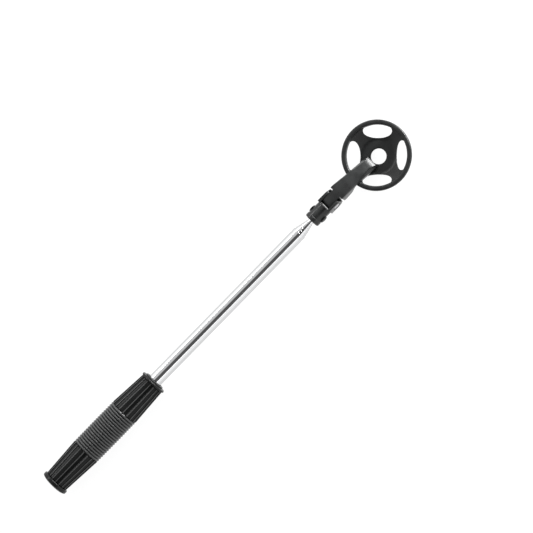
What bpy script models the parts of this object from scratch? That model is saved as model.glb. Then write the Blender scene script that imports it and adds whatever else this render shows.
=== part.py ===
"""Compact telescopic golf ball retriever.

The shaft lies along X: the butt of the handle is at X = 0 and the head is at the far end.
+Z is up; the ball dish is dished downward and its open side faces up.
Dimensions below are in millimetres; everything is placed in metres.
"""

import math

import bmesh
import bpy
from mathutils import Vector

MM = 0.001

# ---- handle ----------------------------------------------------------------
CAP_LEN, CAP_R = 3.6, 10.55
CORE_R, CORE_BORE_R = 7.4, 5.5
CORE_X0, CORE_X1 = 3.9, 98.0
GRIP_BORE_R = 7.7
REAR_X0, REAR_X1 = 3.9, 33.9
FRONT_X0, FRONT_X1 = 73.4, 102.1
CONE_SMALL_R, CONE_LARGE_R = 9.35, 11.25
FLUTES, FLUTE_DEPTH = 18, 0.6
SLEEVE_X0, SLEEVE_X1 = 34.2, 73.1
RIDGES, RIDGE_R, VALLEY_R = 19, 11.4, 10.65
COLLAR_X0, COLLAR_X1, COLLAR_R = 102.4, 105.1, 10.15

# ---- telescopic shaft ------------------------------------------------------
TUBE_WALL = 0.3
TUBE_R = [5.2, 4.7, 4.2, 3.72, 3.25, 2.78, 2.3]
TUBE_MOUTH_X = [253.5, 255.6, 257.8, 259.9, 261.7, 263.5, 267.5]
TUBE_1_BASE_X = 12.0
BUSH_X0, BUSH_STEP, BUSH_LEN, BUSH_SPIGOT = 22.0, 8.0, 5.0, 2.5
CRIMP_X = 248.0
TUBE_SIDES = 24

# ---- head ------------------------------------------------------------------
YOKE_X0, FERRULE_X0, BLOCK_X0 = 265.6, 269.0, 279.2
YOKE_COLLAR_R, FERRULE_R = 5.95, 5.7
BLOCK_HALF_W, BLOCK_HALF_H = 5.95, 5.6
HINGE_X, KNUCKLE_R, HINGE_HOLE_R, HINGE_PIN_R = 285.6, 5.6, 1.8, 1.5
SLOT_HALF_W, TONGUE_HALF_W, SLOT_X0 = 3.9, 3.6, 279.3
RIVET_X, RIVET_R, RIVET_HEAD_R = 272.3, 1.2, 2.85
ARM_X0, ARM_X1, ARM_TOP_X = 292.3, 325.8, 321.5
ARM_REAR_Z, ARM_FRONT_Z, ARM_END_Z = 5.3, -0.8, -4.6
ARM_WAIST_HALF_W, ARM_GAP = 5.05, 0.35
DISH_X = 331.3
DISH_R, RING_IN_R, HUB_HOLE_R, HUB_FLAT_R = 25.7, 22.1, 5.6, 12.4
RING_TOP_Z, RING_LOW_Z = -0.9, -4.3
HUB_TOP_Z, HUB_LOW_Z = -9.4, -11.4
SCREW_X, SCREW_Y = 321.6, 2.8

for old in list(bpy.data.objects):
    bpy.data.objects.remove(old, do_unlink=True)

parts = bpy.data.collections.new("golf_ball_retriever")
cutters = bpy.data.collections.new("cutters")
bpy.context.scene.collection.children.link(parts)
bpy.context.scene.collection.children.link(cutters)


# ---- helpers ---------------------------------------------------------------
def material(name, colour, roughness, metallic=0.0):
    mat = bpy.data.materials.new(name)
    mat.use_nodes = True
    bsdf = mat.node_tree.nodes["Principled BSDF"]
    bsdf.inputs["Base Color"].default_value = (*colour, 1.0)
    bsdf.inputs["Roughness"].default_value = roughness
    bsdf.inputs["Metallic"].default_value = metallic
    return mat


def add_object(name, mesh, mat=None, cutter=False):
    obj = bpy.data.objects.new(name, mesh)
    if cutter:
        cutters.objects.link(obj)
        obj.hide_render = True
        obj.display_type = "WIRE"
    else:
        parts.objects.link(obj)
        mesh.materials.append(mat)
        mesh.shade_smooth()
        mesh.set_sharp_from_angle(angle=math.radians(35))
    return obj


AXIS_ROTATION = {
    "X": (0.0, math.radians(90), 0.0),
    "Y": (math.radians(-90), 0.0, 0.0),
    "Z": (0.0, 0.0, 0.0),
}


def turned(name, profile, mat, axis="X", at=(0, 0, 0), sides=32, cutter=False):
    """A profile of (radius, height) in mm, turned about the axis.

    It runs down the outer side and back up the inner side; a solid one starts and
    ends on the axis.
    """
    solid = profile[0][0] == 0 and profile[-1][0] == 0
    mesh = bpy.data.meshes.new(name)
    verts = [(r * MM, 0.0, h * MM) for r, h in profile]
    n = len(verts)
    edges = [(i, i + 1) for i in range(n - 1)]
    if not solid:
        edges.append((n - 1, 0))
    mesh.from_pydata(verts, edges, [])
    obj = add_object(name, mesh, mat, cutter)
    obj.rotation_euler = AXIS_ROTATION[axis]
    obj.location = Vector(at) * MM
    screw = obj.modifiers.new("Turn", "SCREW")
    screw.axis = "Z"
    screw.angle = math.radians(360)
    screw.steps = sides
    screw.render_steps = sides
    screw.use_merge_vertices = True
    screw.merge_threshold = 0.00001
    screw.use_smooth_shade = True
    return obj


def outline_solid(name, points, half_depth, plane, mat=None, cutter=False):
    """A flat outline in mm, thickened both ways; plane XZ stands it up, XY lays it flat."""
    curve = bpy.data.curves.new(name + "_outline", "CURVE")
    curve.dimensions = "2D"
    curve.fill_mode = "BOTH"
    curve.extrude = half_depth * MM
    spline = curve.splines.new("POLY")
    spline.points.add(len(points) - 1)
    for point, (x, y) in zip(spline.points, points):
        point.co = (x * MM, y * MM, 0.0, 1.0)
    spline.use_cyclic_u = True
    guide = bpy.data.objects.new(name + "_outline", curve)
    cutters.objects.link(guide)
    if plane == "XZ":
        guide.rotation_euler = (math.radians(90), 0.0, 0.0)
    bpy.context.view_layer.update()
    deps = bpy.context.evaluated_depsgraph_get()
    mesh = bpy.data.meshes.new_from_object(guide.evaluated_get(deps))
    matrix = guide.matrix_world.copy()
    bpy.data.objects.remove(guide, do_unlink=True)
    mesh.name = name
    bm = bmesh.new()
    bm.from_mesh(mesh)
    bmesh.ops.remove_doubles(bm, verts=bm.verts, dist=0.000001)
    bmesh.ops.recalc_face_normals(bm, faces=bm.faces)
    bm.to_mesh(mesh)
    bm.free()
    obj = add_object(name, mesh, mat, cutter)
    obj.matrix_world = matrix
    return obj


def box(name, low, high, mat=None, cutter=True):
    mesh = bpy.data.meshes.new(name)
    bm = bmesh.new()
    bmesh.ops.create_cube(bm, size=1.0)
    size = [(b - a) * MM for a, b in zip(low, high)]
    bmesh.ops.scale(bm, vec=size, verts=bm.verts)
    bm.to_mesh(mesh)
    bm.free()
    obj = add_object(name, mesh, mat, cutter)
    obj.location = [(a + b) / 2 * MM for a, b in zip(low, high)]
    return obj


def rod(name, radius, low, high, axis, at, sides=24):
    """A round cutter along an axis, from low to high in mm."""
    mesh = bpy.data.meshes.new(name)
    bm = bmesh.new()
    bmesh.ops.create_cone(
        bm,
        cap_ends=True,
        segments=sides,
        radius1=radius * MM,
        radius2=radius * MM,
        depth=(high - low) * MM,
    )
    bm.to_mesh(mesh)
    bm.free()
    obj = add_object(name, mesh, cutter=True)
    obj.rotation_euler = AXIS_ROTATION[axis]
    centre = Vector(at)
    centre["XYZ".index(axis)] = (low + high) / 2
    obj.location = centre * MM
    return obj


def cut(obj, *tools, operation="DIFFERENCE"):
    for tool in tools:
        mod = obj.modifiers.new("Cut " + tool.name, "BOOLEAN")
        mod.object = tool
        mod.operation = operation
        mod.solver = "EXACT"


# ---- materials -------------------------------------------------------------
hard_black = material("hard_black_plastic", (0.018, 0.019, 0.019), 0.38)
soft_black = material("soft_black_rubber", (0.035, 0.035, 0.036), 0.62)
inner_black = material("inner_plastic", (0.03, 0.03, 0.032), 0.5)
steel = material("polished_steel", (0.80, 0.81, 0.82), 0.12, 1.0)
nylon = material("nylon_bush", (0.72, 0.71, 0.67), 0.5)
pin_steel = material("pin_steel", (0.45, 0.45, 0.46), 0.3, 1.0)
dish_black = material("dish_plastic", (0.028, 0.029, 0.029), 0.42)


# ---- handle ----------------------------------------------------------------
turned(
    "butt_cap",
    [
        (0, 9.0),
        (4.9, 9.0),
        (5.2, 8.7),
        (5.2, CAP_LEN),
        (10.1, CAP_LEN),
        (CAP_R, 3.1),
        (CAP_R, 1.5),
        (10.1, 0.6),
        (8.6, 0.0),
        (0, 0.0),
    ],
    hard_black,
)

turned(
    "handle_core",
    [
        (CORE_R, CORE_X1),
        (CORE_R, CORE_X0),
        (CORE_BORE_R, CORE_X0),
        (CORE_BORE_R, CORE_X1),
    ],
    inner_black,
    sides=32,
)


def fluted_cone(name, x0, x1, r0, r1):
    """A cone frustum with lengthwise flutes round it and a straight bore."""
    per_flute = 5
    pattern = [0.0, 0.7, 1.0, 1.0, 0.7]
    mesh = bpy.data.meshes.new(name)
    bm = bmesh.new()
    bmesh.ops.create_cone(
        bm,
        cap_ends=True,
        segments=FLUTES * per_flute,
        radius1=r0 * MM,
        radius2=r1 * MM,
        depth=(x1 - x0) * MM,
    )
    step = 2 * math.pi / (FLUTES * per_flute)
    for vert in bm.verts:
        angle = math.atan2(vert.co.y, vert.co.x)
        depth = FLUTE_DEPTH * pattern[round(angle / step) % per_flute] * MM
        radius = math.hypot(vert.co.x, vert.co.y)
        vert.co.x *= (radius - depth) / radius
        vert.co.y *= (radius - depth) / radius
    bm.to_mesh(mesh)
    bm.free()
    obj = add_object(name, mesh, hard_black)
    obj.rotation_euler = AXIS_ROTATION["X"]
    obj.location = ((x0 + x1) / 2 * MM, 0, 0)
    cut(obj, rod(name + "_bore", GRIP_BORE_R, x0 - 1, x1 + 1, "X", (0, 0, 0), 32))
    return obj


fluted_cone("rear_grip", REAR_X0, REAR_X1, CONE_SMALL_R, CONE_LARGE_R)
fluted_cone("front_grip", FRONT_X0, FRONT_X1, CONE_LARGE_R, CONE_SMALL_R)


def sleeve_profile():
    pitch = (SLEEVE_X1 - SLEEVE_X0) / RIDGES
    points = []
    for i in range(RIDGES):
        top = SLEEVE_X1 - i * pitch
        points.append((VALLEY_R, top - 0.02 * pitch if i else top))
        points.append((RIDGE_R, top - 0.38 * pitch))
        points.append((RIDGE_R, top - 0.66 * pitch))
    points.append((VALLEY_R, SLEEVE_X0))
    points.append((GRIP_BORE_R, SLEEVE_X0))
    points.append((GRIP_BORE_R, SLEEVE_X1))
    return points


turned("grip_sleeve", sleeve_profile(), soft_black, sides=24)

turned(
    "front_collar",
    [
        (7.3, COLLAR_X1),
        (7.7, COLLAR_X1 - 0.4),
        (7.7, COLLAR_X1 - 1.1),
        (9.3, COLLAR_X1 - 1.1),
        (COLLAR_R, COLLAR_X1 - 1.6),
        (COLLAR_R, COLLAR_X0 + 0.6),
        (9.6, COLLAR_X0),
        (CORE_R, COLLAR_X0),
        (CORE_R, CORE_X1 + 0.3),
        (CORE_BORE_R, CORE_X1 + 0.3),
        (CORE_BORE_R, COLLAR_X1),
    ],
    hard_black,
)

turned(
    "tube_plug",
    [(0, 19.0), (4.3, 19.0), (4.6, 18.6), (4.6, 11.7), (5.2, 11.7), (5.2, 9.6), (0, 9.6)],
    nylon,
    sides=TUBE_SIDES,
)


# ---- telescopic shaft ------------------------------------------------------
def tube_base_x(n):
    """Where section n starts; section 1 is the fixed outer tube."""
    if n == 1:
        return TUBE_1_BASE_X
    return BUSH_X0 + BUSH_STEP * (n - 2) + BUSH_LEN + 0.1


def tube(n):
    outer, mouth, base = TUBE_R[n - 1], TUBE_MOUTH_X[n - 1], tube_base_x(n)
    inner = outer - TUBE_WALL
    last = n == len(TUBE_R)
    lip = inner if last else TUBE_R[n] + 0.1
    profile = [(outer - 0.13, mouth), (outer, mouth - 0.35)]
    if n == 1:
        profile += [
            (outer, CRIMP_X + 0.9),
            (outer - 0.16, CRIMP_X + 0.3),
            (outer - 0.16, CRIMP_X - 0.3),
            (outer, CRIMP_X - 0.9),
        ]
    profile += [(outer, base), (inner, base)]
    if not last:
        profile += [(inner, mouth - 1.2), (lip, mouth - 0.5)]
    profile += [(lip, mouth)]
    return turned(f"tube_{n}", profile, steel, sides=TUBE_SIDES)


def bush(n):
    """The nylon plug at the base of section n, which slides in the section outside it."""
    x0 = BUSH_X0 + BUSH_STEP * (n - 2)
    bore = TUBE_R[n - 2] - TUBE_WALL
    slide_r = bore - 0.08
    spigot_r = TUBE_R[n - 1] - TUBE_WALL - 0.08
    return turned(
        f"slide_bush_{n}",
        [
            (0, x0 + BUSH_LEN + BUSH_SPIGOT),
            (spigot_r, x0 + BUSH_LEN + BUSH_SPIGOT),
            (spigot_r, x0 + BUSH_LEN),
            (slide_r, x0 + BUSH_LEN),
            (slide_r, x0),
            (0, x0),
        ],
        nylon,
        sides=TUBE_SIDES,
    )


for section in range(1, len(TUBE_R) + 1):
    tube(section)
    if section > 1:
        bush(section)


# ---- head: yoke on the end of the thinnest section --------------------------
stud = turned(
    "tip_stud",
    [(0, 277.0), (2.3, 277.0), (2.6, 276.6), (2.6, 267.9), (1.7, 267.9), (1.7, 262.0), (0, 262.0)],
    pin_steel,
    sides=TUBE_SIDES,
)
cut(stud, rod("stud_cross_hole", RIVET_R + 0.3, -8, 8, "Y", (RIVET_X, 0, 0), 16))

yoke = turned(
    "head_yoke",
    [
        (0, BLOCK_X0 + 0.4),
        (FERRULE_R, BLOCK_X0 + 0.4),
        (FERRULE_R, FERRULE_X0),
        (YOKE_COLLAR_R, FERRULE_X0 - 0.3),
        (YOKE_COLLAR_R, YOKE_X0 + 0.6),
        (YOKE_COLLAR_R - 0.6, YOKE_X0),
        (0, YOKE_X0),
    ],
    hard_black,
    sides=40,
)
knuckle = [(BLOCK_X0, -BLOCK_HALF_H), (HINGE_X, -BLOCK_HALF_H)]
knuckle += [
    (HINGE_X + KNUCKLE_R * math.sin(a), -KNUCKLE_R * math.cos(a))
    for a in (math.radians(15 * i) for i in range(1, 12))
]
knuckle += [(HINGE_X, BLOCK_HALF_H), (BLOCK_X0, BLOCK_HALF_H)]
block = outline_solid("yoke_block", knuckle, BLOCK_HALF_W, "XZ", cutter=True)
cut(yoke, block, operation="UNION")
cut(
    yoke,
    box("yoke_slot", (SLOT_X0, -SLOT_HALF_W, -9), (HINGE_X + 9, SLOT_HALF_W, 9)),
    rod("yoke_entry", 2.5, YOKE_X0 - 1, 268.0, "X", (0, 0, 0)),
    rod("yoke_bore", 2.9, 267.6, 277.3, "X", (0, 0, 0)),
    rod("yoke_rivet_hole", RIVET_R + 0.3, -8, 8, "Y", (RIVET_X, 0, 0), 16),
    rod("yoke_pin_hole", HINGE_HOLE_R, -8, 8, "Y", (HINGE_X, 0, 0)),
    rod("yoke_pin_seat_a", 2.9, BLOCK_HALF_W - 1.0, 8, "Y", (HINGE_X, 0, 0)),
    rod("yoke_pin_seat_b", 2.9, -8, 1.0 - BLOCK_HALF_W, "Y", (HINGE_X, 0, 0)),
)

turned(
    "yoke_rivet",
    [
        (0, 6.75),
        (1.5, 6.65),
        (2.5, 6.35),
        (RIVET_HEAD_R, 6.0),
        (RIVET_HEAD_R, 5.9),
        (RIVET_R, 5.9),
        (RIVET_R, -5.9),
        (RIVET_HEAD_R, -5.9),
        (RIVET_HEAD_R, -6.0),
        (2.5, -6.35),
        (1.5, -6.65),
        (0, -6.75),
    ],
    hard_black,
    axis="Y",
    at=(RIVET_X, 0, 0),
    sides=20,
)

turned(
    "hinge_pin",
    [
        (0, 5.9),
        (2.2, 5.9),
        (2.6, 5.6),
        (2.6, 5.15),
        (HINGE_PIN_R, 5.15),
        (HINGE_PIN_R, -5.15),
        (2.6, -5.15),
        (2.6, -5.6),
        (2.2, -5.9),
        (0, -5.9),
    ],
    pin_steel,
    axis="Y",
    at=(HINGE_X, 0, 0),
    sides=20,
)

# ---- head: tilting arm -------------------------------------------------------
head_axis = bpy.data.objects.new("head_tilt_axis", None)
parts.objects.link(head_axis)
head_axis.location = (HINGE_X * MM, 0, 0)

tongue_r, tongue_h = 5.7, 5.2
side = [
    (HINGE_X - tongue_r * math.cos(a), tongue_r * math.sin(a))
    for a in (math.radians(13 * i) for i in range(0, 6))
]
side += [
    (ARM_X0, ARM_REAR_Z),
    (298.0, 4.9),
    (303.5, 3.6),
    (ARM_TOP_X, ARM_FRONT_Z),
    (ARM_X1, ARM_END_Z),
    (ARM_X1 - 0.6, HUB_TOP_Z + ARM_GAP),
    (DISH_X - 11.0, HUB_TOP_Z + ARM_GAP),
    (DISH_X - 20.6, -2.8),
    (DISH_X - 20.8, RING_TOP_Z + ARM_GAP),
    (304.6, RING_TOP_Z + ARM_GAP),
    (300.2, -ARM_REAR_Z),
    (HINGE_X - tongue_r, -tongue_h),
]
arm = outline_solid("lift_arm", side, BLOCK_HALF_W, "XZ", hard_black)


def plane_cutter(name, a, b, c, depth=12):
    """A thick slab on the far side of the plane through three points, outside the arm."""
    a, b, c = Vector(a), Vector(b), Vector(c)
    u = (b - a).normalized()
    n = u.cross(c - a).normalized()
    if n.y * a.y < 0:
        n = -n
    v = n.cross(u)
    mesh = bpy.data.meshes.new(name)
    corners = [a + u * i + v * j + n * k for i in (-40, 60) for j in (-30, 30) for k in (0, depth)]
    mesh.from_pydata(
        [p * MM for p in corners],
        [],
        [(0, 1, 3, 2), (4, 6, 7, 5), (0, 4, 5, 1), (2, 3, 7, 6), (0, 2, 6, 4), (1, 5, 7, 3)],
    )
    bm = bmesh.new()
    bm.from_mesh(mesh)
    bmesh.ops.recalc_face_normals(bm, faces=bm.faces)
    bm.to_mesh(mesh)
    bm.free()
    return add_object(name, mesh, cutter=True)


for sign, tag in ((1, "a"), (-1, "b")):
    y0, y1 = sorted((sign * TONGUE_HALF_W, sign * 9))
    cut(arm, box("tongue_side_" + tag, (HINGE_X - 9, y0, -9), (ARM_X0, y1, 9)))
    plan = [
        (296.0, sign * BLOCK_HALF_W),
        (304.0, sign * 5.5),
        (326.0, sign * ARM_WAIST_HALF_W),
        (330.0, sign * ARM_WAIST_HALF_W),
        (330.0, sign * 9),
        (296.0, sign * 9),
    ]
    cut(arm, outline_solid("arm_waist_" + tag, plan, 20, "XY", cutter=True))
    cut(
        arm,
        plane_cutter(
            "arm_draft_" + tag,
            (298.0, sign * 5.5, 4.4),
            (321.5, sign * 3.0, ARM_FRONT_Z),
            (326.0, sign * 5.05, -6.3),
        ),
    )
cut(arm, rod("arm_pin_hole", HINGE_HOLE_R, -8, 8, "Y", (HINGE_X, 0, 0)))
for sign, tag in ((1, "a"), (-1, "b")):
    cut(
        arm,
        rod("arm_pilot_" + tag, 1.2, -10, -4.4, "Z", (SCREW_X, sign * SCREW_Y, 0), 12),
    )

# ---- head: ball dish ---------------------------------------------------------
dish = turned(
    "ball_dish",
    [
        (25.0, RING_TOP_Z),
        (DISH_R, RING_TOP_Z - 0.6),
        (DISH_R, RING_LOW_Z + 0.9),
        (25.0, RING_LOW_Z + 0.2),
        (23.6, RING_LOW_Z),
        (13.0, HUB_LOW_Z),
        (6.0, HUB_LOW_Z),
        (HUB_HOLE_R, HUB_LOW_Z + 0.35),
        (HUB_HOLE_R, HUB_TOP_Z - 0.35),
        (6.0, HUB_TOP_Z),
        (HUB_FLAT_R, HUB_TOP_Z),
        (RING_IN_R, -3.2),
        (RING_IN_R, RING_TOP_Z - 0.5),
        (22.6, RING_TOP_Z),
    ],
    dish_black,
    axis="Z",
    at=(DISH_X, 0, 0),
    sides=64,
)


def window_outline(angle):
    """A rounded window between two spokes, its outer side following the ring."""
    centre, half_long, half_wide, power, limit = 17.75, 10.6, 4.65, 2.15, 22.05
    points = []
    for i in range(40):
        a = 2 * math.pi * i / 40
        c, s = math.cos(a), math.sin(a)
        u = centre + half_wide * math.copysign(abs(c) ** (2 / power), c)
        v = half_long * math.copysign(abs(s) ** (2 / power), s)
        r = math.hypot(u, v)
        if r > limit:
            u, v = u * limit / r, v * limit / r
        points.append(
            (
                DISH_X + u * math.cos(angle) - v * math.sin(angle),
                u * math.sin(angle) + v * math.cos(angle),
            )
        )
    return points


for i in range(4):
    window = outline_solid(
        f"window_{i + 1}", window_outline(math.radians(45 + 90 * i)), 20, "XY", cutter=True
    )
    cut(dish, window)
for sign, tag in ((1, "a"), (-1, "b")):
    at = (SCREW_X, sign * SCREW_Y, 0)
    cut(
        dish,
        rod("dish_hole_" + tag, 1.3, -13, -8, "Z", at, 16),
        rod("dish_seat_" + tag, 2.2, -13, HUB_LOW_Z + 1.1, "Z", at, 16),
    )

for sign, number in ((1, 1), (-1, 2)):
    turned(
        f"dish_screw_{number}",
        [
            (0, -4.9),
            (0.6, -5.1),
            (0.9, -5.8),
            (0.9, -10.7),
            (1.9, -10.7),
            (1.9, -11.0),
            (1.5, -11.3),
            (0, -11.3),
        ],
        pin_steel,
        axis="Z",
        at=(SCREW_X, sign * SCREW_Y, 0),
        sides=16,
    )

bpy.context.view_layer.update()
for name in ("lift_arm", "ball_dish", "dish_screw_1", "dish_screw_2"):
    child = bpy.data.objects[name]
    world = child.matrix_world.copy()
    child.parent = head_axis
    child.matrix_parent_inverse = head_axis.matrix_world.inverted()
    child.matrix_world = world
bpy.context.view_layer.update()
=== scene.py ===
import math

import bmesh
import bpy
from mathutils import Matrix, Vector


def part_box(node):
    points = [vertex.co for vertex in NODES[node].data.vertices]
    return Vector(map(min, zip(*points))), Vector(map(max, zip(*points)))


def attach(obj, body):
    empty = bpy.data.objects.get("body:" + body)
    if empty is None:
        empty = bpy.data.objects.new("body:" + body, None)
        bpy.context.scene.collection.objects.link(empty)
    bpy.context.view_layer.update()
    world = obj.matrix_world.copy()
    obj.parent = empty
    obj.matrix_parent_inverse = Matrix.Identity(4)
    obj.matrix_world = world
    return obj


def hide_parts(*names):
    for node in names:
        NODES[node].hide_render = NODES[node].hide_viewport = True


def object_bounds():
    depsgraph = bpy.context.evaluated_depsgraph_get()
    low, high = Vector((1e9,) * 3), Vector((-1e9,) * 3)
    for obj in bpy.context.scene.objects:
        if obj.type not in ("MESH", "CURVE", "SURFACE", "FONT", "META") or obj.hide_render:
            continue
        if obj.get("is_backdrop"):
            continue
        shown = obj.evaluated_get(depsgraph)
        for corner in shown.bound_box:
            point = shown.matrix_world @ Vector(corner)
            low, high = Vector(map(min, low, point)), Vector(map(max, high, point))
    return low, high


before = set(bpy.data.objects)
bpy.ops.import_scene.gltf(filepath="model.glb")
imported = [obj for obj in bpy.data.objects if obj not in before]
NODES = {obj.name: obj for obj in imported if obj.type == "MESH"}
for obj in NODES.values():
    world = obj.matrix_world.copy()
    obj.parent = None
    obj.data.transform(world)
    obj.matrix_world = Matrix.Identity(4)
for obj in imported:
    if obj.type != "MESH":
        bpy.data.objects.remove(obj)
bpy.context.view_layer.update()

MM = 0.001
scene = bpy.context.scene


# ---- materials ---------------------------------------------------------------
def new_material(name):
    mat = bpy.data.materials.new(name)
    mat.use_nodes = True
    return mat, mat.node_tree.nodes, mat.node_tree.links


def surface(
    name,
    dark,
    light,
    rough,
    metallic=0.0,
    stretch=(1, 1, 1),
    tone_scale=160,
    grain_scale=2600,
    grain=0.00002,
    bump=0.35,
    coat=0.0,
    specular=0.5,
    ridge_highlight_paint=None,
    ior=1.45,
):
    """Two close tones mixed by a soft noise, roughness from a second noise, and a fine grain bump."""
    mat, nodes, links = new_material(name)
    bsdf = nodes["Principled BSDF"]
    coords = nodes.new("ShaderNodeTexCoord")
    mapping = nodes.new("ShaderNodeMapping")
    mapping.inputs["Scale"].default_value = stretch
    links.new(coords.outputs["Object"], mapping.inputs["Vector"])

    def noise(scale, detail, roughness=0.5):
        n = nodes.new("ShaderNodeTexNoise")
        n.inputs["Scale"].default_value = scale
        n.inputs["Detail"].default_value = detail
        n.inputs["Roughness"].default_value = roughness
        links.new(mapping.outputs["Vector"], n.inputs["Vector"])
        return n

    tone = noise(tone_scale, 4)
    ramp = nodes.new("ShaderNodeValToRGB")
    ramp.color_ramp.elements[0].position = 0.32
    ramp.color_ramp.elements[1].position = 0.7
    ramp.color_ramp.elements[0].color = (*dark, 1)
    ramp.color_ramp.elements[1].color = (*light, 1)
    links.new(tone.outputs["Fac"], ramp.inputs["Fac"])
    links.new(ramp.outputs["Color"], bsdf.inputs["Base Color"])
    if ridge_highlight_paint:
        # the tops of the ridges are painted a lighter tone than the grooves between them: a painted highlight
        # that stands in for the bright ridge lines the light makes
        kind, count, offset, low_edge, high_edge, highlight_value = ridge_highlight_paint
        parts = nodes.new("ShaderNodeSeparateXYZ")
        links.new(coords.outputs["Object"], parts.inputs["Vector"])

        def math_node(operation, value, second):
            m = nodes.new("ShaderNodeMath")
            m.operation = operation
            links.new(value, m.inputs[0])
            if isinstance(second, (int, float)):
                m.inputs[1].default_value = second
            elif second is not None:
                links.new(second, m.inputs[1])
            return m.outputs["Value"]

        if kind == "around":
            turn = math_node("ARCTAN2", parts.outputs["Z"], parts.outputs["Y"])
            turn = math_node("MULTIPLY", turn, count / (2 * math.pi))
        else:
            turn = math_node("SUBTRACT", parts.outputs["X"], offset)
            turn = math_node("MULTIPLY", turn, count)
        turn = math_node("FRACT", turn, None)
        turn = math_node("SUBTRACT", turn, 0.5)
        turn = math_node("ABSOLUTE", turn, None)
        highlight_band = nodes.new("ShaderNodeMapRange")
        highlight_band.inputs["From Min"].default_value = low_edge
        highlight_band.inputs["From Max"].default_value = high_edge
        links.new(turn, highlight_band.inputs["Value"])
        highlight_mix = nodes.new("ShaderNodeMix")
        highlight_mix.data_type = "RGBA"
        links.new(highlight_band.outputs["Result"], highlight_mix.inputs[0])
        links.new(ramp.outputs["Color"], highlight_mix.inputs[6])
        highlight_mix.inputs[7].default_value = (highlight_value, highlight_value * 1.01, highlight_value * 1.01, 1)
        links.new(highlight_mix.outputs[2], bsdf.inputs["Base Color"])
    fine = noise(grain_scale, 3, 0.6)
    span = nodes.new("ShaderNodeMapRange")
    span.inputs["From Min"].default_value = 0.3
    span.inputs["From Max"].default_value = 0.7
    span.inputs["To Min"].default_value = rough[0]
    span.inputs["To Max"].default_value = rough[1]
    links.new(tone.outputs["Fac"], span.inputs["Value"])
    links.new(span.outputs["Result"], bsdf.inputs["Roughness"])
    height = nodes.new("ShaderNodeBump")
    height.inputs["Strength"].default_value = bump
    height.inputs["Distance"].default_value = grain
    links.new(fine.outputs["Fac"], height.inputs["Height"])
    links.new(height.outputs["Normal"], bsdf.inputs["Normal"])
    bsdf.inputs["Metallic"].default_value = metallic
    bsdf.inputs["Coat Weight"].default_value = coat
    bsdf.inputs["Coat Roughness"].default_value = 0.12
    bsdf.inputs["Specular IOR Level"].default_value = specular
    bsdf.inputs["IOR"].default_value = ior
    return mat


GRIP = surface("grip_plastic", (0.006, 0.0064, 0.0064), (0.011, 0.0115, 0.0115), (0.24, 0.36), specular=0.4,
               ior=1.3)
# fluted grips: the flute ridge tops carry a painted highlight tone
FLUTED = surface("fluted_plastic", (0.005, 0.0053, 0.0053), (0.009, 0.0094, 0.0094), (0.24, 0.36), specular=0.4,
                 ior=1.25,
                 ridge_highlight_paint=("around", 18, 0.0, 0.40, 0.46, 0.085))
# rubber sleeve: the ridge tops carry a painted highlight tone
SLEEVE = surface("sleeve_rubber", (0.012, 0.0125, 0.0125), (0.020, 0.021, 0.021), (0.30, 0.42),
                 grain_scale=3400, grain=0.00003, bump=0.5,
                 ridge_highlight_paint=("along", 19 / 0.0389, 0.0342, 0.30, 0.12, 0.062), ior=1.38)
HEAD = surface("head_plastic", (0.011, 0.0115, 0.0115), (0.019, 0.020, 0.020), (0.24, 0.34), ior=1.38)
DISH = surface("dish_plastic", (0.010, 0.0105, 0.0105), (0.018, 0.019, 0.019), (0.30, 0.42),
               grain_scale=3000, grain=0.000025, specular=0.3)
STEEL = surface("polished_steel", (0.58, 0.585, 0.59), (0.64, 0.643, 0.648), (0.05, 0.10), metallic=1.0,
                stretch=(0.02, 1, 1), tone_scale=900, grain_scale=5200, grain=0.000003, bump=0.25)
PIN = surface("pin_steel", (0.36, 0.36, 0.37), (0.50, 0.50, 0.51), (0.22, 0.34), metallic=1.0,
              tone_scale=500, grain_scale=4000, grain=0.000006)
NYLON = surface("nylon", (0.66, 0.65, 0.61), (0.76, 0.75, 0.71), (0.38, 0.5), tone_scale=300)
CORE = surface("core_plastic", (0.02, 0.02, 0.021), (0.035, 0.035, 0.036), (0.45, 0.6), tone_scale=200)


# ---- mesh helpers ------------------------------------------------------------
def finish_mesh(name, mesh, mat, body, replaces, sharp=35):
    obj = bpy.data.objects.new(name, mesh)
    scene.collection.objects.link(obj)
    mesh.materials.clear()
    mesh.materials.append(mat)
    mesh.shade_smooth()
    mesh.set_sharp_from_angle(angle=math.radians(sharp))
    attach(obj, body)
    if replaces:
        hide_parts(*([replaces] if isinstance(replaces, str) else replaces))
    return obj


def fillet(points, segs=4):
    """Points are (a, b, radius): every corner with a radius becomes an arc."""
    out = []
    n = len(points)
    for i, (x, y, r) in enumerate(points):
        if not r:
            out.append((x, y))
            continue
        p = Vector((x, y))
        a = Vector(points[i - 1][:2]) - p
        b = Vector(points[(i + 1) % n][:2]) - p
        la, lb = a.length, b.length
        a.normalize()
        b.normalize()
        half = math.acos(max(-1, min(1, a.dot(b)))) / 2
        cut = min(r / math.tan(half), la * 0.48, lb * 0.48)
        rr = cut * math.tan(half)
        centre = p + (a + b).normalized() * (rr / math.sin(half))
        s, e = p + a * cut - centre, p + b * cut - centre
        turn = math.atan2(s.x * e.y - s.y * e.x, s.dot(e))
        for k in range(segs + 1):
            t = turn * k / segs
            c, d = math.cos(t), math.sin(t)
            out.append((centre.x + s.x * c - s.y * d, centre.y + s.x * d + s.y * c))
    return out


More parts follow.
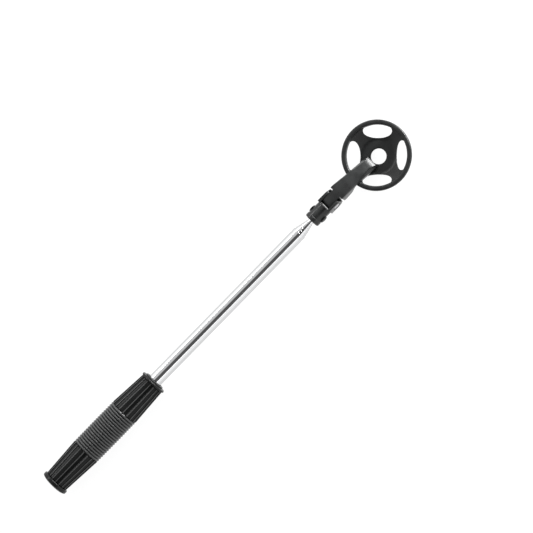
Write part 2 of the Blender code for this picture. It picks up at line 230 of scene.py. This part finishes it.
def ring_mesh(name, profile, sides, axis, at=(0, 0, 0), radius_at=None, solid=False):
    """Rings of (radius, height) joined into a closed skin. radius_at(i, angle, r) may change a ring's radius."""
    mesh = bpy.data.meshes.new(name)
    verts, faces, rings = [], [], []
    at = Vector(at)

    def place(r, h, ang):
        c, s = r * math.cos(ang), r * math.sin(ang)
        if axis == "X":
            p = Vector((h, c, s))
        elif axis == "Y":
            p = Vector((c, h, s))
        else:
            p = Vector((c, s, h))
        return tuple((p + at) * MM)

    for i, (r, h) in enumerate(profile):
        if solid and abs(r) < 1e-9:
            rings.append([len(verts)] * sides)
            verts.append(place(0, h, 0))
            continue
        rings.append(list(range(len(verts), len(verts) + sides)))
        for k in range(sides):
            ang = 2 * math.pi * k / sides
            rr = radius_at(i, ang, r) if radius_at else r
            verts.append(place(rr, h, ang))
    pairs = list(zip(rings, rings[1:])) + ([] if solid else [(rings[-1], rings[0])])
    for ra, rb in pairs:
        for k in range(sides):
            j = (k + 1) % sides
            face = [ra[k], ra[j], rb[j], rb[k]]
            keep = []
            for v in face:
                if v not in keep:
                    keep.append(v)
            if len(keep) > 2:
                faces.append(keep)
    mesh.from_pydata(verts, [], faces)
    bm = bmesh.new()
    bm.from_mesh(mesh)
    bmesh.ops.recalc_face_normals(bm, faces=bm.faces)
    bm.to_mesh(mesh)
    bm.free()
    return mesh


def evaluated(obj):
    bpy.context.view_layer.update()
    deps = bpy.context.evaluated_depsgraph_get()
    return bpy.data.meshes.new_from_object(obj.evaluated_get(deps))


def softened(node, name, width, mat, body, sharp=30):
    """The node's own form with every hard edge rounded over."""
    mesh = NODES[node].data.copy()
    mesh.name = name
    bm = bmesh.new()
    bm.from_mesh(mesh)
    bmesh.ops.remove_doubles(bm, verts=bm.verts, dist=0.000004)
    bmesh.ops.dissolve_limit(
        bm, angle_limit=math.radians(0.6), verts=bm.verts, edges=bm.edges, delimit={"NORMAL"}
    )
    bmesh.ops.recalc_face_normals(bm, faces=bm.faces)
    bm.to_mesh(mesh)
    bm.free()
    tmp = bpy.data.objects.new(name + "_tmp", mesh)
    scene.collection.objects.link(tmp)
    bevel = tmp.modifiers.new("Bevel", "BEVEL")
    bevel.width = width * MM
    bevel.segments = 3
    bevel.limit_method = "ANGLE"
    bevel.angle_limit = math.radians(28)
    bevel.harden_normals = False
    bevel.use_clamp_overlap = True
    done = evaluated(tmp)
    bpy.data.objects.remove(tmp, do_unlink=True)
    done.name = name
    return finish_mesh(name, done, mat, body, node, sharp)


# ---- handle ------------------------------------------------------------------
finish_mesh(
    "butt_cap_piece",
    ring_mesh(
        "butt_cap_piece",
        [(0, 8.9)]
        + fillet(
            [
                (5.1, 8.9, 0.5),
                (5.1, 3.6, 0),
                (10.45, 3.6, 0.7),
                (10.45, 0.9, 0.7),
                (8.4, 0.0, 0.6),
                (4.0, 0.0, 0),
            ]
        )
        + [(0, 0.0)],
        96,
        "X",
        solid=True,
    ),
    GRIP,
    "handle",
    "butt_cap",
)


def fluted(name, node, x0, x1, r0, r1):
    flutes, per, depth = 18, 24, 0.58
    stations = 12
    outer = []
    for k in range(stations + 1):
        t = k / stations
        outer.append((r0 + (r1 - r0) * t, x0 + (x1 - x0) * t))
    edge = 0.25
    profile = [(outer[0][0] - edge, x0), (outer[0][0], x0 + edge)]
    profile += outer[1:-1]
    profile += [(outer[-1][0], x1 - edge), (outer[-1][0] - edge, x1)]
    profile += [(7.9, x1), (7.75, x1 - 0.2), (7.75, x0 + 0.2), (7.9, x0)]
    skin = len(outer) + 2

    def radius_at(i, ang, r):
        if i >= skin:
            return r
        u = (ang * flutes / (2 * math.pi)) % 1.0
        w = min(1.0, max(0.0, (0.44 - abs(u - 0.5)) / 0.17))
        return r - depth * w * w * (3 - 2 * w)

    mesh = ring_mesh(name, profile, flutes * per, "X", radius_at=radius_at)
    return finish_mesh(name, mesh, FLUTED, "handle", node, 28)


fluted("rear_grip_piece", "rear_grip", 3.9, 33.9, 9.35, 11.2)
fluted("front_grip_piece", "front_grip", 73.4, 102.1, 11.2, 9.35)

SLEEVE_X0, SLEEVE_X1, RIDGES = 34.2, 73.1, 19
pitch = (SLEEVE_X1 - SLEEVE_X0) / RIDGES
profile = [(10.62, SLEEVE_X0)]
for i in range(RIDGES):
    for k in range(1, 9):
        t = k / 9
        lift = (0.5 - 0.5 * math.cos(2 * math.pi * t)) ** 0.62
        bulge = 0.10 * math.sin(math.pi * (i + t) / RIDGES)
        profile.append((10.55 + 0.72 * lift + bulge, SLEEVE_X0 + (i + t) * pitch))
    profile.append((10.52 + 0.10 * math.sin(math.pi * (i + 1) / RIDGES), SLEEVE_X0 + (i + 1) * pitch))
profile += [(7.75, SLEEVE_X1), (7.75, SLEEVE_X0)]
finish_mesh(
    "grip_sleeve_piece",
    ring_mesh("grip_sleeve_piece", profile, 112, "X"),
    SLEEVE,
    "handle",
    "grip_sleeve",
    60,
)

finish_mesh(
    "front_collar_piece",
    ring_mesh(
        "front_collar_piece",
        fillet(
            [
                (7.65, 105.1, 0.35),
                (7.65, 104.0, 0.2),
                (10.1, 104.0, 0.7),
                (10.1, 102.4, 0.5),
                (7.45, 102.4, 0),
                (7.35, 98.4, 0.2),
                (5.55, 98.4, 0.2),
                (5.55, 105.1, 0.3),
            ]
        ),
        96,
        "X",
    ),
    GRIP,
    "handle",
    "front_collar",
)

# ---- telescopic tubes --------------------------------------------------------
TUBE_R = [5.2, 4.7, 4.2, 3.72, 3.25, 2.78, 2.3]
for n, outer in enumerate(TUBE_R, 1):
    node = f"tube_{n}"
    low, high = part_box(node)
    base, mouth = low.x / MM, high.x / MM
    inner = outer - 0.3
    last = n == len(TUBE_R)
    lip = inner if last else TUBE_R[n] + 0.1
    points = [(outer, mouth, 0.42)]
    if n == 1:
        crimp = 250.2
        points += [
            (outer, crimp + 0.95, 0.4),
            (outer - 0.2, crimp + 0.35, 0.3),
            (outer - 0.2, crimp - 0.35, 0.3),
            (outer, crimp - 0.95, 0.4),
        ]
    points += [(outer, base, 0.08), (inner, base, 0.08)]
    if not last:
        points += [(inner, mouth - 1.2, 0), (lip, mouth - 0.55, 0)]
    points += [(lip, mouth, 0.1)]
    profile = fillet(points, 5)
    finish_mesh(
        f"{node}_piece",
        ring_mesh(f"{node}_piece", profile, 96, "X"),
        STEEL,
        "handle" if n == 1 else f"section_{n}",
        node,
        40,
    )

# ---- head --------------------------------------------------------------------
softened("head_yoke", "head_yoke_piece", 0.28, HEAD, "section_7")
softened("lift_arm", "lift_arm_piece", 0.32, HEAD, "head")

head = []
for k in range(9):
    a = math.radians(90 * k / 8)
    head.append((2.8 * math.sin(a), 5.95 + 0.78 * math.cos(a)))
finish_mesh(
    "yoke_rivet_piece",
    ring_mesh(
        "yoke_rivet_piece",
        head + [(1.2, 5.9), (1.2, -5.9)] + [(r, -h) for r, h in reversed(head)],
        48,
        "Y",
        at=(272.3, 0, 0),
        solid=True,
    ),
    HEAD,
    "section_7",
    "yoke_rivet",
    50,
)
finish_mesh(
    "hinge_pin_piece",
    ring_mesh(
        "hinge_pin_piece",
        [(0, 5.55), (0.9, 5.55), (1.2, 5.85), (2.2, 5.85), (2.55, 5.5), (2.55, 5.15), (1.5, 5.15),
         (1.5, -5.15), (2.55, -5.15), (2.55, -5.5), (2.2, -5.85), (1.2, -5.85), (0.9, -5.55), (0, -5.55)],
        40,
        "Y",
        at=(285.6, 0, 0),
        solid=True,
    ),
    PIN,
    "section_7",
    "hinge_pin",
)

DISH_X = 331.3
dish_mesh = ring_mesh(
    "dish_body",
    fillet(
        [
            (25.65, -0.95, 1.3),
            (25.65, -4.2, 1.2),
            (23.6, -4.3, 1.2),
            (13.0, -11.35, 3.0),
            (5.65, -11.35, 0.5),
            (5.65, -9.45, 0.7),
            (12.4, -9.45, 5.0),
            (22.1, -3.2, 1.0),
            (22.1, -0.95, 1.1),
        ],
        6,
    ),
    160,
    "Z",
    at=(DISH_X, 0, 0),
)
dish = bpy.data.objects.new("dish_tmp", dish_mesh)
scene.collection.objects.link(dish)
tools = []


def prism(name, points, z0, z1):
    mesh = bpy.data.meshes.new(name)
    n = len(points)
    verts = [(x * MM, y * MM, z0 * MM) for x, y in points] + [(x * MM, y * MM, z1 * MM) for x, y in points]
    faces = [list(reversed(range(n))), list(range(n, 2 * n))]
    faces += [[i, (i + 1) % n, n + (i + 1) % n, n + i] for i in range(n)]
    mesh.from_pydata(verts, [], faces)
    obj = bpy.data.objects.new(name, mesh)
    scene.collection.objects.link(obj)
    obj.hide_render = True
    tools.append(obj)
    return obj


for q in range(4):
    ang = math.radians(45 + 90 * q)
    centre, half_long, half_wide, power, limit = 17.75, 10.6, 4.65, 2.15, 22.05
    pts = []
    for i in range(96):
        a = 2 * math.pi * i / 96
        c, s = math.cos(a), math.sin(a)
        u = centre + half_wide * math.copysign(abs(c) ** (2 / power), c)
        v = half_long * math.copysign(abs(s) ** (2 / power), s)
        r = math.hypot(u, v)
        if r > limit:
            u, v = u * limit / r, v * limit / r
        pts.append((DISH_X + u * math.cos(ang) - v * math.sin(ang), u * math.sin(ang) + v * math.cos(ang)))
    prism(f"window_tool_{q}", pts, -20, 10)
for sign in (1, -1):
    for r, z0, z1 in ((1.3, -13, -8), (2.2, -13, -10.3)):
        pts = [
            (321.6 + r * math.cos(2 * math.pi * i / 32), sign * 2.8 + r * math.sin(2 * math.pi * i / 32))
            for i in range(32)
        ]
        prism(f"screw_tool_{sign}_{r}", pts, z0, z1)
for tool in tools:
    mod = dish.modifiers.new("Cut", "BOOLEAN")
    mod.object = tool
    mod.operation = "DIFFERENCE"
    mod.solver = "EXACT"
remesh = dish.modifiers.new("Remesh", "REMESH")
remesh.mode = "VOXEL"
remesh.voxel_size = 0.24 * MM
relax = dish.modifiers.new("Relax", "SMOOTH")
relax.factor = 0.5
relax.iterations = 6
done = evaluated(dish)
bpy.data.objects.remove(dish, do_unlink=True)
for tool in tools:
    bpy.data.objects.remove(tool, do_unlink=True)
done.name = "ball_dish_piece"
finish_mesh("ball_dish_piece", done, DISH, "head", "ball_dish", 180)

# ---- hidden pieces keep their own form ---------------------------------------
KEPT = {"handle_core": CORE, "tube_plug": NYLON, "tip_stud": PIN, "dish_screw_1": PIN, "dish_screw_2": PIN}
for n in range(2, 8):
    KEPT[f"slide_bush_{n}"] = NYLON
for node, mat in KEPT.items():
    NODES[node].data.materials.clear()
    NODES[node].data.materials.append(mat)

# ---- floor, light and camera -------------------------------------------------
floor_mesh = bpy.data.meshes.new("floor")
floor_mesh.from_pydata(
    [(-6, -6, -0.0135), (6, -6, -0.0135), (6, 6, -0.0135), (-6, 6, -0.0135)], [], [(0, 1, 2, 3)]
)
floor = bpy.data.objects.new("floor", floor_mesh)
scene.collection.objects.link(floor)
floor_mat, nodes, links = new_material("pale_floor")
nodes["Principled BSDF"].inputs["Base Color"].default_value = (0.14, 0.14, 0.14, 1)
nodes["Principled BSDF"].inputs["Roughness"].default_value = 0.9
nodes["Principled BSDF"].inputs["Specular IOR Level"].default_value = 0.1
nodes["Principled BSDF"].inputs["Emission Color"].default_value = (1, 1, 1, 1)
nodes["Principled BSDF"].inputs["Emission Strength"].default_value = 0.92
floor_mesh.materials.append(floor_mat)
floor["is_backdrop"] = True

world = bpy.data.worlds.new("studio")
scene.world = world
world.use_nodes = True
wn, wl = world.node_tree.nodes, world.node_tree.links
background = wn["Background"]
coord = wn.new("ShaderNodeTexCoord")
split = wn.new("ShaderNodeSeparateXYZ")
wl.new(coord.outputs["Generated"], split.inputs["Vector"])
angle = wn.new("ShaderNodeMath")
angle.operation = "ARCTAN2"
wl.new(split.outputs["Y"], angle.inputs[0])
wl.new(split.outputs["Z"], angle.inputs[1])
unit = wn.new("ShaderNodeMapRange")
unit.inputs["From Min"].default_value = -math.pi
unit.inputs["From Max"].default_value = math.pi
wl.new(angle.outputs["Value"], unit.inputs["Value"])
sky = wn.new("ShaderNodeValToRGB")
sky.color_ramp.interpolation = "EASE"
stops = [(-180, 0.9), (-118, 1.4), (-56, 1.4), (-44, 0.14), (-4, 0.12), (8, 0.85), (50, 0.95), (62, 1.6), (125, 1.6), (180, 0.9)]
ramp = sky.color_ramp
while len(ramp.elements) < len(stops):
    ramp.elements.new(0.5)
for element, (deg, value) in zip(ramp.elements, stops):
    element.position = (deg + 180) / 360
    element.color = (value, value, value * 1.005, 1)
wl.new(unit.outputs["Result"], sky.inputs["Fac"])
wl.new(sky.outputs["Color"], background.inputs["Color"])
background.inputs["Strength"].default_value = 1.0


def area(name, location, target, size, power):
    data = bpy.data.lights.new(name, "AREA")
    data.shape = "RECTANGLE"
    data.size, data.size_y = size
    data.energy = power
    obj = bpy.data.objects.new(name, data)
    scene.collection.objects.link(obj)
    obj.location = location
    obj.rotation_mode = "QUATERNION"
    obj.rotation_quaternion = (Vector(target) - Vector(location)).to_track_quat("-Z", "Y")
    return obj


area("key_softbox", (0.10, 1.36, 0.95), (0.18, 0, 0), (1.6, 0.14), 9)
area("fill_softbox", (0.30, -1.30, 1.05), (0.18, 0, 0), (1.6, 0.14), 1.3)
area("end_softbox", (1.25, 0.05, 0.16), (0.32, 0, 0), (0.5, 0.3), 30)

PX = 0.7134
DISTANCE = 4.0
aim = Vector((0.2196, 0.0001, 0.0))
toward = Vector((0.090, -0.21, 0.97)).normalized()
along = (Vector((1, 0, 0)) - toward * toward.x).normalized()
across = toward.cross(along)
c, s = 0.69921, 0.71492
right = along * c - across * s
up = along * s + across * c
camera_data = bpy.data.cameras.new("camera")
camera_data.sensor_width = 36
camera_data.lens = 36 * DISTANCE / (533 * PX * MM)
camera_data.clip_start = 0.05
camera_data.clip_end = 40
camera = bpy.data.objects.new("camera", camera_data)
scene.collection.objects.link(camera)
location = aim + toward * DISTANCE
camera.matrix_world = Matrix(
    (
        (right.x, up.x, toward.x, location.x),
        (right.y, up.y, toward.y, location.y),
        (right.z, up.z, toward.z, location.z),
        (0, 0, 0, 1),
    )
)
scene.camera = camera
scene.view_settings.view_transform = "Standard"
scene.view_settings.look = "None"
scene.view_settings.exposure = 0.0

low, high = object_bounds()
